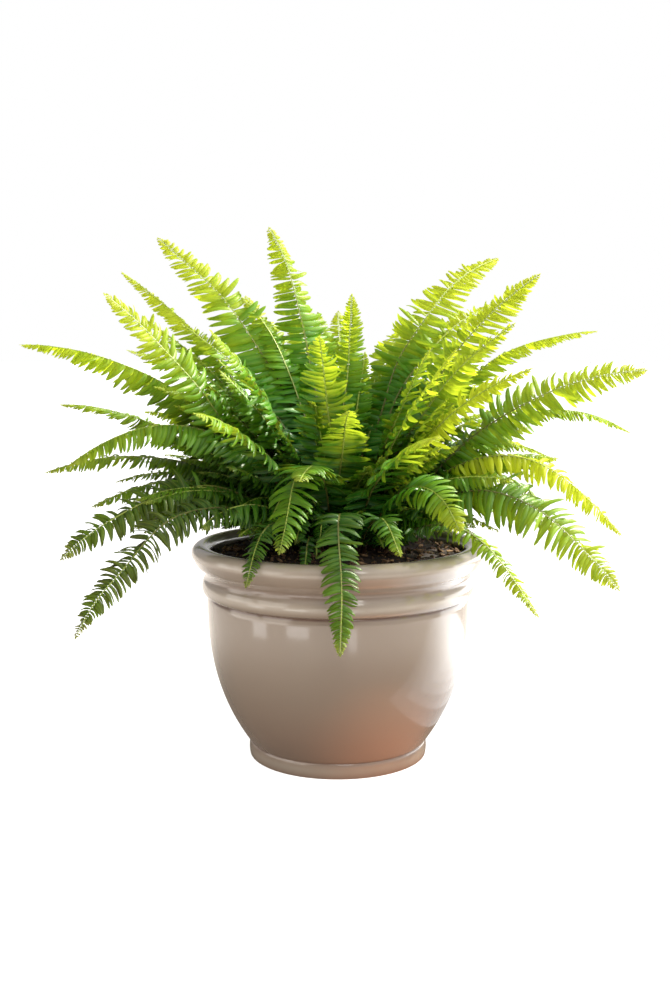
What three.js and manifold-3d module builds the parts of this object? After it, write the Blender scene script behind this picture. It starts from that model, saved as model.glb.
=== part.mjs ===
// A potted fern: a glazed bell-shaped pot on a low foot, filled with potting soil, and a clump of
// arching fronds that rise from the soil. Every frond is a leaf of its own: a bare stalk that stands
// in a hole in the soil, a keeled rib, and two rows of leaflets cut right back to that rib.
//
// Millimetres, +Z up. The origin is at the middle of the underside of the foot. The viewer of the
// plant stands on the -Y side, with +X to the right.
import * as THREE from "three";
import { mergeVertices } from "three/addons/utils/BufferGeometryUtils.js";
import Module from "manifold-3d";

const wasm = await Module();
wasm.setup();

// ---------------------------------------------------------------- driving dimensions

const SEGMENTS = 32; // facets round the pot and the soil
const POT = {
  height: 195.5, // underside of the foot to the top of the lip
  footRadius: 81.5,
  footHeight: 13.5,
  footWaist: 80.3, // where the body springs from the foot
  bellyRadius: 118.4, // the widest of the body, just under the bead
  swell: 2.6, // how soon the body swells above the foot: 1 is a cone
  beadRadius: 123.2,
  beadBottom: 149.7,
  beadTop: 165.7,
  neckRadius: 120.2,
  neckTop: 168, // from here the underside of the lip leans out
  lipRadius: 132.5,
  lipHalf: 8, // half the height of the lip's roll
  mouthRadius: 114.5,
  throatRadius: 112.5, // the narrowest of the inside, under the lip
  throatHeight: 173.5,
  wall: 7,
  floorTop: 12,
};
const UNDER_LIP = [[0, 0], [1.2, 3.4], [5.4, 7.2]]; // out from the neck's radius, and up from its top
const DRAIN = { count: 3, radius: 7, ring: 38, facets: 16 }; // holes in the floor, round its middle
const SOIL = {
  gap: 0.4, // between the soil and the pot
  level: 185, // at the wall
  mound: 6, // how much higher the soil is in the middle
  crumb: 1.6, // height of the crumbs above and below the mean surface
  rings: [98, 80, 62, 44, 24, 0], // radii at which the top has points
};
const STALK = {
  buried: 16, // how deep a stalk stands in its hole
  straight: 12, // the stalk's straight start above the soil
  holeClearance: 0.6,
  share: 0.1, // the part of a frond's length that bears no leaflets
  gaps: 3, // between the rings of corners on that part
};
// Low fronds spring from the edge of the clump, and upright ones from its middle.
const CLUMP = { lowestLift: 48, edge: 62, highestLift: 88, middle: 8 };
const RIB = {
  width: 2.7,
  depth: 2,
  tipScale: 0.5,
  startHandle: 0.85, // how much of the way to the bend the frond runs nearly straight
  endHandle: 0.5,
};
const LEAFLET = {
  pitch: 12.7, // between leaflets where a frond is broadest
  fewest: 8, // pairs on a frond
  most: 20,
  lastShare: 0.985, // how far along the frond the last gap between leaflets is
  crowding: 1.25, // how much closer they stand towards the tip: 1 is evenly spaced
  rootShare: 0.55, // where a leaflet's own line meets the rib between two gaps
  thickness: 0.7,
  sweepAtBase: 8, // degrees that a leaflet leans towards the tip of its frond
  sweepAtTip: 38,
  shortest: 4.6,
};
const CLEARANCE = 3.1; // between the middle surfaces of leaves, as sampled every SAMPLE mm
const SAMPLE = 1.6;
const POT_CLEARANCE = 3; // between a leaf and the pot or the soil
// A leaflet that meets another one is made shorter, and bent up or down by so many degrees. A rib
// that meets another one is turned round the pot by small steps.
const FIT = { scales: [1, 0.82, 0.64, 0.46], bends: [0, 12, -12, 24, -24, 36], turn: 1.5, turns: 16 };

const GLAZE = 0xb3a192;
const SOIL_BROWN = 0x2e2119;
const YOUNG_GREEN = 0x9cc32a;
const OLD_GREEN = 0x3d7d1f;

// Fronds that the viewer sees. side is the compass angle of the tip round the pot's axis, from +X
// towards +Y; reach is the tip's distance from that axis, and tip its height. lift is the angle at
// which the stalk leaves the soil, arch how far it keeps to it (as a share of the way to the tip),
// and curl how far, in mm, its last third stands above an even arch before it bends down. half is
// the length of its longest leaflets, face turns its upper side towards the viewer by so many
// degrees, and hang is the angle at which its leaflets droop.
const SEEN = [
  // left, from the lowest to the highest
  { side: 218, reach: 262, tip: 145, lift: 54, arch: 0.6, half: 24, face: 34, hang: 18, curl: 16 },
  { side: 206, reach: 252, tip: 198, lift: 58, arch: 0.6, half: 28, face: 34, hang: 22, curl: 14 },
  { side: 193, reach: 218, tip: 234, lift: 62, arch: 0.57, half: 20, face: 16, hang: 24, curl: 6 },
  { side: 187, reach: 257, tip: 259, lift: 65, arch: 0.54, half: 23, face: 10, hang: 30, curl: 8 },
  { side: 201, reach: 241, tip: 272, lift: 72, arch: 0.66, half: 29, face: 12, hang: 44, curl: 28 },
  { side: 169, reach: 266, tip: 315, lift: 62, arch: 0.45, half: 21, face: 6, hang: 22, curl: 12 },
  { side: 179, reach: 286, tip: 370, lift: 67, arch: 0.6, half: 29, face: 8, hang: 52, curl: 8 },
  { side: 172, reach: 194, tip: 368, lift: 76, arch: 0.62, half: 22, face: 18, hang: 14, curl: 4 },
  { side: 196, reach: 205, tip: 415, lift: 68, arch: 0.34, half: 33, face: 46, hang: 10, curl: 12 },
  { side: 157, reach: 226, tip: 441, lift: 75, arch: 0.44, half: 22, face: 10, hang: 26, curl: 14 },
  { side: 146, reach: 213, tip: 476, lift: 83, arch: 0.5, half: 34, face: 30, hang: 8, curl: 14 },
  // the crown
  { side: 116, reach: 156, tip: 489, lift: 86, arch: 0.52, half: 31, face: 14, hang: 26, curl: 12 },
  { side: 254, reach: 60, tip: 378, lift: 87, arch: 0.4, half: 34, face: 0, hang: 6, curl: 0 },
  { side: 78, reach: 78, tip: 420, lift: 85, arch: 0.42, half: 24, face: 0, hang: 12, curl: 4 },
  { side: 212, reach: 124, tip: 386, lift: 80, arch: 0.46, half: 33, face: 26, hang: 10, curl: 4 },
  { side: 316, reach: 134, tip: 368, lift: 76, arch: 0.4, half: 33, face: 24, hang: 10, curl: 4 },
  { side: 274, reach: 112, tip: 318, lift: 80, arch: 0.5, half: 31, face: 0, hang: 10, curl: 6 },
  // right, from the highest to the lowest
  { side: 46, reach: 234, tip: 461, lift: 80, arch: 0.58, half: 34, face: 26, hang: 12, curl: 16 },
  { side: 11, reach: 187, tip: 438, lift: 78, arch: 0.46, half: 34, face: 40, hang: 10, curl: 8 },
  { side: 17, reach: 256, tip: 385, lift: 71, arch: 0.56, half: 20, face: 6, hang: 34, curl: 22 },
  { side: 340, reach: 173, tip: 352, lift: 74, arch: 0.5, half: 27, face: 34, hang: 10, curl: 6 },
  { side: 356, reach: 272, tip: 351, lift: 63, arch: 0.46, half: 34, face: 44, hang: 12, curl: 22 },
  { side: 7, reach: 272, tip: 292, lift: 65, arch: 0.6, half: 18, face: 4, hang: 34, curl: 30 },
  { side: 349, reach: 194, tip: 274, lift: 66, arch: 0.56, half: 27, face: 20, hang: 30, curl: 6 },
  { side: 344, reach: 251, tip: 212, lift: 62, arch: 0.66, half: 24, face: 18, hang: 30, curl: 44 },
  { side: 330, reach: 259, tip: 175, lift: 58, arch: 0.6, half: 33, face: 34, hang: 16, curl: 26 },
  { side: 312, reach: 230, tip: 165, lift: 50, arch: 0.5, half: 15, face: 10, hang: 30, curl: 20 },
  // front, arching towards the viewer
  { side: 308, reach: 160, tip: 224, lift: 66, arch: 0.74, half: 28, face: 34, hang: 12, curl: 22 },
  { side: 292, reach: 136, tip: 206, lift: 60, arch: 0.56, half: 18, face: 0, hang: 22, curl: 24 },
  { side: 272, reach: 160, tip: 131, lift: 56, arch: 0.62, half: 21, face: 0, hang: 12, curl: 80 },
  { side: 251, reach: 148, tip: 209, lift: 74, arch: 0.92, half: 31, face: 0, hang: 14, curl: 50 },
  { side: 238, reach: 145, tip: 180, lift: 56, arch: 0.5, half: 14, face: 0, hang: 16, curl: 44 },
  { side: 223, reach: 152, tip: 222, lift: 64, arch: 0.62, half: 24, face: 10, hang: 40, curl: 10 },
  { side: 322, reach: 118, tip: 216, lift: 62, arch: 0.56, half: 17, face: 0, hang: 26, curl: 10 },
  { side: 338, reach: 140, tip: 236, lift: 66, arch: 0.6, half: 22, face: 10, hang: 34, curl: 10 },
  { side: 228, reach: 172, tip: 318, lift: 72, arch: 0.54, half: 30, face: 20, hang: 18, curl: 6 },
  { side: 298, reach: 162, tip: 300, lift: 70, arch: 0.54, half: 30, face: 18, hang: 18, curl: 8 },
  { side: 258, reach: 152, tip: 268, lift: 74, arch: 0.62, half: 28, face: 0, hang: 16, curl: 14 },
];

// Tiers of fronds on the far side and in the heart of the clump, from the lowest to the highest.
const TIERS = [
  { count: 6, from: 24, to: 158, reach: 250, tip: 222, lift: 56, arch: 0.58, half: 28, hang: 24, curl: 16 },
  { count: 6, from: 34, to: 146, reach: 246, tip: 318, lift: 66, arch: 0.52, half: 30, hang: 18, curl: 14 },
  { count: 4, from: 62, to: 134, reach: 194, tip: 414, lift: 76, arch: 0.46, half: 31, hang: 14, curl: 10 },
  { count: 4, from: -60, to: 210, reach: 92, tip: 356, lift: 82, arch: 0.42, half: 26, hang: 12, curl: 4 },
];
const UNEVEN = { side: 5, reach: 16, tip: 18, lift: 2.5, hang: 8 }; // how much a tier's fronds differ

// ---------------------------------------------------------------- helpers

const rad = THREE.MathUtils.degToRad;
const mix = THREE.MathUtils.lerp;

// A seeded random number generator, so that the fern grows the same way every time.
function seeded(seed) {
  let state = seed;
  return () => {
    state = (Math.imul(state, 1664525) + 1013904223) >>> 0;
    return state / 2 ** 32;
  };
}

// A geometry's triangles as a solid that can be cut.
function solidOf(geometry) {
  const bare = geometry.clone();
  bare.deleteAttribute("normal");
  bare.deleteAttribute("uv");
  const merged = mergeVertices(bare, 1e-3);
  return new wasm.Manifold(
    new wasm.Mesh({
      numProp: 3,
      vertProperties: merged.attributes.position.array,
      triVerts: new Uint32Array(merged.index.array),
    }),
  );
}

function geometryOf(solid) {
  const mesh = solid.getMesh();
  const geometry = new THREE.BufferGeometry();
  geometry.setAttribute("position", new THREE.BufferAttribute(mesh.vertProperties, 3));
  geometry.setIndex(new THREE.BufferAttribute(mesh.triVerts, 1));
  geometry.computeVertexNormals();
  return geometry;
}

function named(name, geometry, colour, roughness) {
  const material = new THREE.MeshStandardMaterial({ color: colour, roughness, metalness: 0 });
  const mesh = new THREE.Mesh(geometry, material);
  mesh.name = name;
  return mesh;
}

// ---------------------------------------------------------------- the pot

// Radius of the body's outer face at a height between the foot and the bead.
function bodyRadius(z) {
  const share = THREE.MathUtils.clamp((z - POT.footHeight) / (POT.beadBottom - POT.footHeight), 0, 1);
  return mix(POT.footWaist, POT.bellyRadius, 1 - (1 - share) ** POT.swell);
}

// Heights at which the body's curve has a point: close together low down, where it turns fastest.
function bodyHeights(steps) {
  const heights = [];
  for (let i = 0; i <= steps; i++) heights.push(mix(POT.footHeight, POT.beadBottom, (i / steps) ** 1.5));
  return heights;
}

// A point of a profile: its distance from the axis and its height.
const point = (r, z) => new THREE.Vector2(r, z);

// Points of an upright or flat oval's arc, from one angle to another in degrees.
function arc(centre, radii, from, to, steps) {
  const points = [];
  for (let i = 0; i <= steps; i++) {
    const angle = rad(mix(from, to, i / steps));
    points.push(point(centre.x + radii.x * Math.cos(angle), centre.y + radii.y * Math.sin(angle)));
  }
  return points;
}

// The inside of the pot, from the edge of its floor up to the throat under the lip.
function innerWall() {
  const body = bodyHeights(4).map((z) => point(bodyRadius(z) - POT.wall, z));
  body[0].y = POT.floorTop;
  return [...body, point(POT.throatRadius, POT.throatHeight)];
}

function footArc() {
  const half = POT.footHeight / 2;
  return arc(point(POT.footWaist, half), point(POT.footRadius - POT.footWaist, half), -90, 70, 3);
}

function beadArc() {
  const middle = point(POT.bellyRadius, (POT.beadBottom + POT.beadTop) / 2);
  const radii = point(POT.beadRadius - POT.bellyRadius, (POT.beadTop - POT.beadBottom) / 2);
  return arc(middle, radii, -60, 70, 4);
}

// The lip, from its underside over its top to its inner edge.
function lipArc() {
  const thick = (POT.lipRadius - POT.mouthRadius) / 2;
  const middle = point(POT.lipRadius - thick, POT.height - POT.lipHalf);
  return arc(middle, point(thick, POT.lipHalf), -45, 180, 5);
}

// From the middle of the underside up the outside to the lip, and down the inside to the floor.
function potProfile() {
  return [
    point(0, 0),
    ...footArc(),
    ...bodyHeights(7).map((z) => point(bodyRadius(z), z)),
    ...beadArc(),
    ...UNDER_LIP.map(([out, up]) => point(POT.neckRadius + out, POT.neckTop + up)),
    ...lipArc(),
    ...innerWall().reverse(),
    point(0, POT.floorTop),
  ];
}

// A plug that fills one drain hole, and stands out of both faces of the floor.
function drainPlug(index) {
  const turn = (index / DRAIN.count) * 2 * Math.PI + Math.PI / 2;
  return new THREE.CylinderGeometry(DRAIN.radius, DRAIN.radius, POT.floorTop * 2, DRAIN.facets)
    .rotateX(Math.PI / 2)
    .translate(DRAIN.ring * Math.cos(turn), DRAIN.ring * Math.sin(turn), POT.floorTop / 2);
}

function pot() {
  let body = solidOf(new THREE.LatheGeometry(potProfile(), SEGMENTS).rotateX(Math.PI / 2));
  for (let i = 0; i < DRAIN.count; i++) body = body.subtract(solidOf(drainPlug(i)));
  return geometryOf(body);
}

// ---------------------------------------------------------------- the soil

// Mean height of the soil's surface at a distance from the pot's axis.
function soilHeight(r) {
  return SOIL.level + SOIL.mound * Math.max(0, 1 - (r / POT.mouthRadius) ** 2);
}

// How far the uneven, crumbly top is above or below its mean: slow and quick waves, in mm, that
// cross each other and never repeat over the pot.
function crumbs(x, y) {
  const slow = Math.sin(x / 7.3 + 0.8) * Math.cos(y / 6.1);
  const quick = Math.sin((x + y) / 3.7) * Math.cos((x - 1.6 * y) / 4.9);
  return SOIL.crumb * (0.6 * slow + 0.4 * quick);
}

// The soil's own profile: inside the pot's, and up the throat to the level at the wall.
function soilProfile() {
  const wall = innerWall().map((p) => point(p.x - SOIL.gap, p.y));
  wall[0].y += SOIL.gap;
  const throat = wall.at(-1);
  const mouth = point(POT.mouthRadius - SOIL.gap, POT.height - POT.lipHalf);
  const atLevel = (SOIL.level - throat.y) / (mouth.y - throat.y);
  return [
    point(0, wall[0].y),
    ...wall,
    throat.clone().lerp(mouth, atLevel),
    ...SOIL.rings.map((r) => point(r, soilHeight(r))),
  ];
}

function soil(holes) {
  const geometry = new THREE.LatheGeometry(soilProfile(), SEGMENTS).rotateX(Math.PI / 2);
  const position = geometry.attributes.position;
  const onTop = 0.1; // above the level at the wall, whose edge stays even
  for (let i = 0; i < position.count; i++) {
    const [x, y, z] = [position.getX(i), position.getY(i), position.getZ(i)];
    if (z > SOIL.level + onTop) position.setZ(i, z + crumbs(x, y));
  }
  return geometryOf(holes.reduce((rest, hole) => rest.subtract(solidOf(hole)), solidOf(geometry)));
}

// ---------------------------------------------------------------- room between the fronds

// Remembers where every leaf is, as sample points in a grid of cells, so that a new leaflet can be
// bent or shortened until it is clear of the leaves of other fronds, and of the pot and the soil.
class Room {
  cells = new Map();

  // The key of the cell that holds a point, or of one that is so many cells away from it.
  static key(p, i = 0, j = 0, k = 0) {
    return [p.x / CLEARANCE + i, p.y / CLEARANCE + j, p.z / CLEARANCE + k].map(Math.floor).join();
  }

  take(points, owner) {
    for (const p of points) {
      const key = Room.key(p);
      if (!this.cells.has(key)) this.cells.set(key, []);
      this.cells.get(key).push({ p, owner });
    }
  }

  isFree(points, owner) {
    return points.every((p) => !inPot(p) && !this.isNear(p, owner));
  }

  isNear(p, owner) {
    const meets = (other) => other.owner !== owner && other.p.distanceTo(p) < CLEARANCE;
    for (let i = -1; i <= 1; i++)
      for (let j = -1; j <= 1; j++)
        for (let k = -1; k <= 1; k++) {
          const there = this.cells.get(Room.key(p, i, j, k));
          if (there?.some(meets)) return true;
        }
    return false;
  }
}

// Whether a point is in, or too close to, the pot or its soil.
function inPot(p) {
  const r = Math.hypot(p.x, p.y);
  if (p.z > POT.height + POT_CLEARANCE || r > POT.lipRadius + POT_CLEARANCE) return false;
  if (r > POT.throatRadius - POT_CLEARANCE) return true;
  return p.z < soilHeight(r) + SOIL.crumb + POT_CLEARANCE;
}

// Sample points on a straight line, and over a triangle.
function alongLine(a, b) {
  const steps = Math.max(1, Math.ceil(a.distanceTo(b) / SAMPLE));
  return Array.from({ length: steps + 1 }, (_, i) => a.clone().lerp(b, i / steps));
}

function overTriangle(a, b, c) {
  const rows = Math.max(1, Math.ceil(Math.max(a.distanceTo(c), b.distanceTo(c)) / SAMPLE));
  const points = [];
  for (let i = 0; i <= rows; i++)
    points.push(...alongLine(a.clone().lerp(c, i / rows), b.clone().lerp(c, i / rows)));
  return points;
}

// ---------------------------------------------------------------- the fronds

// The rows of the tiers: the same number of fronds every time, unevenly spaced like real ones.
function tierRows() {
  const random = seeded(11);
  const uneven = (range) => (random() * 2 - 1) * range;
  return TIERS.flatMap((tier) =>
    Array.from({ length: tier.count }, (_, i) => ({
      side: mix(tier.from, tier.to, (i + 0.5) / tier.count) + uneven(UNEVEN.side),
      reach: tier.reach + uneven(UNEVEN.reach),
      tip: tier.tip + uneven(UNEVEN.tip),
      lift: tier.lift + uneven(UNEVEN.lift),
      arch: tier.arch,
      half: tier.half,
      face: 0,
      hang: tier.hang + uneven(UNEVEN.hang),
      curl: tier.curl,
    })),
  );
}

function baseRadius(lift) {
  const share = (lift - CLUMP.lowestLift) / (CLUMP.highestLift - CLUMP.lowestLift);
  return mix(CLUMP.edge, CLUMP.middle, share);
}

// The rib's middle line: an arch that leaves the soil at the row's lift, runs nearly straight at
// first, and bends over towards its tip.
function ribLine(row) {
  const [side, lift] = [rad(row.side), rad(row.lift)];
  const away = new THREE.Vector3(Math.cos(side), Math.sin(side), 0);
  const up = new THREE.Vector3(0, 0, 1);
  const r = baseRadius(row.lift);
  const foot = away.clone().multiplyScalar(r).setZ(soilHeight(r));
  const tip = away.clone().multiplyScalar(row.reach).setZ(row.tip);
  const heading = away.clone().multiplyScalar(Math.cos(lift)).addScaledVector(up, Math.sin(lift));
  const bend = foot.clone().addScaledVector(heading, row.arch * foot.distanceTo(tip));
  const first = foot.clone().lerp(bend, RIB.startHandle);
  const second = tip.clone().lerp(bend, RIB.endHandle).addScaledVector(up, row.curl);
  return { foot, heading, curve: new THREE.CubicBezierCurve3(foot, first, second, tip) };
}

// A place on the rib: its point, the way to the tip, the right-hand side, the upper side, and the
// rib's size there.
function station(place, forward, row, share) {
  const side = rad(row.side);
  const right = new THREE.Vector3(Math.sin(side), -Math.cos(side), 0);
  right.addScaledVector(forward, -right.dot(forward)).normalize();
  const turned = THREE.MathUtils.smoothstep(share, 0.1, 0.6); // the turn comes on along the frond
  right.applyAxisAngle(forward, Math.sign(Math.cos(side)) * rad(row.face) * turned);
  const up = new THREE.Vector3().crossVectors(right, forward).normalize();
  const scale = mix(1, RIB.tipScale, share);
  const [half, depth] = [(RIB.width / 2) * scale, RIB.depth * scale];
  const corners = {
    left: place.clone().addScaledVector(right, -half),
    right: place.clone().addScaledVector(right, half),
    keel: place.clone().addScaledVector(up, -depth),
  };
  return { place, forward, right, up, share, corners };
}

// Every place on the rib that has a ring of corners: two on the straight start of the stalk, three
// up the stalk, and one at each gap between leaflets.
function stations(row, line) {
  const length = line.curve.getLength();
  const straightEnd = line.foot.clone().addScaledVector(line.heading, STALK.straight);
  const buriedEnd = line.foot.clone().addScaledVector(line.heading, -STALK.buried);
  const room = Math.round((length * (1 - STALK.share)) / LEAFLET.pitch);
  const pairs = THREE.MathUtils.clamp(room, LEAFLET.fewest, LEAFLET.most);
  const shares = [STALK.share / 2];
  for (let i = 0; i < pairs; i++) {
    const even = i / (pairs - 1);
    shares.push(mix(STALK.share, LEAFLET.lastShare, 1 - (1 - even) ** LEAFLET.crowding));
  }
  return [
    station(buriedEnd, line.heading, row, 0),
    station(straightEnd, line.heading, row, 0),
    ...shares.map((u) => station(line.curve.getPointAt(u), line.curve.getTangentAt(u), row, u)),
  ];
}

// How long a leaflet is, as a share of its frond's longest. along is 0 where the leaflets start and
// 1 at the tip of the frond. They are longest at a third of the way, and taper late.
function leafletShare(along) {
  return Math.min(1, 0.6 + 1.4 * along) * (1 - along ** 3) ** 0.78;
}

// The name of the rib's corner on one side: hand is 1 on the right and -1 on the left.
function edgeOf(hand) {
  return hand > 0 ? "right" : "left";
}

// The tip of a leaflet between two stations, on its upper and its lower face.
function leafletTip(row, from, to, hand, scale, bend) {
  const along = ((from.share + to.share) / 2 - STALK.share) / (1 - STALK.share);
  const length = Math.max(LEAFLET.shortest, row.half * leafletShare(along) * scale);
  const hang = rad(row.hang + bend);
  const sweep = rad(mix(LEAFLET.sweepAtBase, LEAFLET.sweepAtTip, along));
  const out = from.right
    .clone()
    .multiplyScalar(hand * Math.cos(hang))
    .addScaledVector(from.up, -Math.sin(hang));
  const heading = out.multiplyScalar(Math.cos(sweep)).addScaledVector(from.forward, Math.sin(sweep));
  const root = from.place.clone().lerp(to.place, LEAFLET.rootShare);
  const upper = root.addScaledVector(heading, length);
  const normal = from.up
    .clone()
    .multiplyScalar(Math.cos(hang))
    .addScaledVector(from.right, hand * Math.sin(hang));
  return { upper, lower: upper.clone().addScaledVector(normal, -LEAFLET.thickness) };
}

// Tries a leaflet at its full length and its own hang, then bent up or down, then shorter, until it
// is clear of everything. Nothing comes back where there is no room at all.
function fitLeaflet(room, frond, gap, hand) {
  const [from, to] = [frond.stations[gap], frond.stations[gap + 1]];
  const edge = edgeOf(hand);
  for (const scale of FIT.scales)
    for (const bend of FIT.bends) {
      const tip = leafletTip(frond.row, from, to, hand, scale, bend);
      const points = overTriangle(from.corners[edge], to.corners[edge], tip.upper);
      if (room.isFree(points, frond.owner)) {
        room.take(points, frond.owner);
        return tip;
      }
    }
  return null;
}

// Turns a frond round the pot a little at a time until its rib is clear of the ribs before it.
function growRib(room, row, owner) {
  for (let turns = 0; turns < FIT.turns; turns++) {
    const turned = { ...row, side: row.side + turns * FIT.turn };
    const rings = stations(turned, ribLine(turned));
    const points = rings.slice(1).flatMap((ring, i) => alongLine(rings[i].place, ring.place));
    if (points.some((p) => room.isNear(p, owner))) continue;
    room.take(points, owner);
    return { row: turned, owner, stations: rings, leaflets: rings.map(() => ({})) };
  }
  throw new Error("no room for frond " + owner);
}

// All the fronds. Leaflets are fitted from the tips inwards, so that the visible outer ones get
// their full length and those hidden in the heart give way.
function growFronds(rows) {
  const room = new Room();
  const fronds = rows.map((row, owner) => growRib(room, row, owner));
  const most = Math.max(...fronds.map((frond) => frond.stations.length));
  for (let back = 2; back < most; back++)
    for (const frond of fronds) {
      const gap = frond.stations.length - back;
      if (gap < STALK.gaps) continue;
      for (const hand of [1, -1]) frond.leaflets[gap][hand] = fitLeaflet(room, frond, gap, hand);
    }
  return fronds;
}

// Gathers triangles from points; each point is stored once.
class Shell {
  points = [];
  faces = [];
  index = new Map();

  at(point) {
    if (!this.index.has(point)) {
      this.index.set(point, this.points.length / 3);
      this.points.push(point.x, point.y, point.z);
    }
    return this.index.get(point);
  }

  face(...corners) {
    for (let i = 2; i < corners.length; i++)
      this.faces.push(this.at(corners[0]), this.at(corners[i - 1]), this.at(corners[i]));
  }

  geometry() {
    const geometry = new THREE.BufferGeometry();
    geometry.setAttribute("position", new THREE.Float32BufferAttribute(this.points, 3));
    geometry.setIndex(this.faces);
    geometry.computeVertexNormals();
    return geometry;
  }
}

// One side of the rib between two rings of corners: a plain wall, or a leaflet that springs from it.
// The leaflet is a wedge: its upper face starts at the rib's edge and its lower face at the keel.
function ribSide(shell, from, to, hand, leaflet) {
  const edge = edgeOf(hand);
  const [e0, e1, k0, k1] = [from[edge], to[edge], from.keel, to.keel];
  const face = (...corners) => shell.face(...(hand > 0 ? corners : corners.reverse()));
  if (!leaflet) {
    face(e0, k0, k1, e1);
    return;
  }
  face(e0, leaflet.upper, e1);
  face(k0, k1, leaflet.lower);
  face(e0, k0, leaflet.lower, leaflet.upper);
  face(e1, leaflet.upper, leaflet.lower, k1);
}

// The closed shell of a frond: its underground end, the rib and leaflets, and its pointed tip.
function frondGeometry(frond) {
  const shell = new Shell();
  const rings = frond.stations.map((ring) => ring.corners);
  const [first, last] = [rings[0], rings[rings.length - 1]];
  shell.face(first.left, first.keel, first.right);
  for (let i = 0; i + 1 < rings.length; i++) {
    const [from, to] = [rings[i], rings[i + 1]];
    shell.face(from.left, from.right, to.right, to.left);
    for (const hand of [1, -1]) ribSide(shell, from, to, hand, frond.leaflets[i][hand]);
  }
  const end = frond.stations[rings.length - 1];
  const apex = end.place.clone().addScaledVector(end.forward, LEAFLET.shortest);
  shell.face(last.left, last.right, apex);
  shell.face(last.right, last.keel, apex);
  shell.face(last.keel, last.left, apex);
  return shell.geometry();
}

// The corners of a ring moved away from its middle, and the whole ring back along the stalk.
function widerRing(ring, grow, back) {
  const { left, right, keel } = ring.corners;
  const middle = left.clone().add(right).add(keel).divideScalar(3);
  const wider = (corner) =>
    corner.clone().sub(middle).multiplyScalar(grow).add(middle).addScaledVector(ring.forward, -back);
  return { left: wider(left), right: wider(right), keel: wider(keel) };
}

// The plain hole in which a frond's stalk stands: the stalk's own straight start, made wider. A
// triangle's sides are only half as far from its middle as its corners, hence the factor of 2.
function stalkHole(frond) {
  const shell = new Shell();
  const cornerReach = RIB.width / Math.sqrt(3);
  const grow = 1 + (2 * STALK.holeClearance) / cornerReach;
  const from = widerRing(frond.stations[0], grow, STALK.holeClearance);
  const to = widerRing(frond.stations[1], grow, 0);
  shell.face(from.left, from.keel, from.right);
  shell.face(from.left, from.right, to.right, to.left);
  shell.face(from.right, from.keel, to.keel, to.right);
  shell.face(from.keel, from.left, to.left, to.keel);
  shell.face(to.left, to.right, to.keel);
  return shell.geometry();
}

// Young, upright fronds are a bright yellow green, and old, low ones a deeper green.
function frondColour(frond) {
  const [youngLift, oldLift] = [80, 50];
  const age = THREE.MathUtils.clamp((youngLift - frond.row.lift) / (youngLift - oldLift), 0, 1);
  return new THREE.Color(YOUNG_GREEN).lerp(new THREE.Color(OLD_GREEN), age);
}

// ---------------------------------------------------------------- the plant in its pot

const fronds = growFronds([...SEEN, ...tierRows()]);
const fern = new THREE.Group();
fern.add(named("pot", pot(), GLAZE, 0.18));
fern.add(named("soil", soil(fronds.map(stalkHole)), SOIL_BROWN, 0.95));
fronds.forEach((frond, i) => {
  const name = "frond_" + String(i + 1).padStart(2, "0");
  fern.add(named(name, frondGeometry(frond), frondColour(frond), 0.5));
});

export default fern;
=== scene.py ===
# %% [markdown]
# # A potted fern
# The real object is a sword fern in a glazed bell pot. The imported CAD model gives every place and
# size: the pot, the soil and one node for each frond. This notebook keeps those forms and adds what
# faceted solids can't show: close-set leaflets, veins, glaze, crumbs of soil, and light.

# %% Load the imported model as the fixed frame
import math

import bmesh
import bpy
import numpy as np
from mathutils import Matrix, Vector, noise


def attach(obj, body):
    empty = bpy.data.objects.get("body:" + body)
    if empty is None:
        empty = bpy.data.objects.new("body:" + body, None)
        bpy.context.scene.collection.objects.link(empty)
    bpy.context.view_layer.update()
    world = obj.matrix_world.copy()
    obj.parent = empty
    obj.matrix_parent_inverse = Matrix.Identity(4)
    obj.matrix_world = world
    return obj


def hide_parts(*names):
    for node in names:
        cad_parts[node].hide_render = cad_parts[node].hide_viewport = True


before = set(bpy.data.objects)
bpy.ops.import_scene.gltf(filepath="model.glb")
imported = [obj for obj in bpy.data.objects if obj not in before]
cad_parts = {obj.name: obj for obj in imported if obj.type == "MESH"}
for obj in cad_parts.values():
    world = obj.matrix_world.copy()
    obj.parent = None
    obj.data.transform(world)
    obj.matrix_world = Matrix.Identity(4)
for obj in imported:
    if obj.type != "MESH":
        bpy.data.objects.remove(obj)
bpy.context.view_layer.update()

frond_names = sorted(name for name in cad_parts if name.startswith("frond_"))
MM = 0.001

# %% [markdown]
# The photograph looks slightly down on the plant from the front. A long lens keeps the pot's sides
# nearly straight. The camera is made first, because every choice of form and light is judged
# through it.

# %% The camera
CAMERA_PLACE = (-2.2 * MM, -1095 * MM, 369.6 * MM)
CAMERA_PITCH = math.radians(7.1)  # how far it looks down
CAMERA_LENS = 43.9

camera_data = bpy.data.cameras.new("camera")
camera_data.lens = CAMERA_LENS
camera = bpy.data.objects.new("camera", camera_data)
camera.location = CAMERA_PLACE
camera.rotation_euler = (math.pi / 2 - CAMERA_PITCH, 0, 0)
bpy.context.scene.collection.objects.link(camera)
bpy.context.scene.camera = camera
bpy.context.scene.view_settings.view_transform = "Standard"
print("camera at", tuple(camera.location), "lens", camera_data.lens)

# %% [markdown]
# Every operator works on what is selected, and the frame's nodes come in selected. These helpers
# start a piece from a clean selection, and finish one: they say which CAD node the piece stands
# for, and which body it rides on.


# %% Helpers for starting and finishing a piece
def deselect():
    if bpy.context.object and bpy.context.object.mode != "OBJECT":
        bpy.ops.object.mode_set(mode="OBJECT")
    bpy.ops.object.select_all(action="DESELECT")


def pick(piece):
    deselect()
    piece.select_set(True)
    bpy.context.view_layer.objects.active = piece


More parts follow.
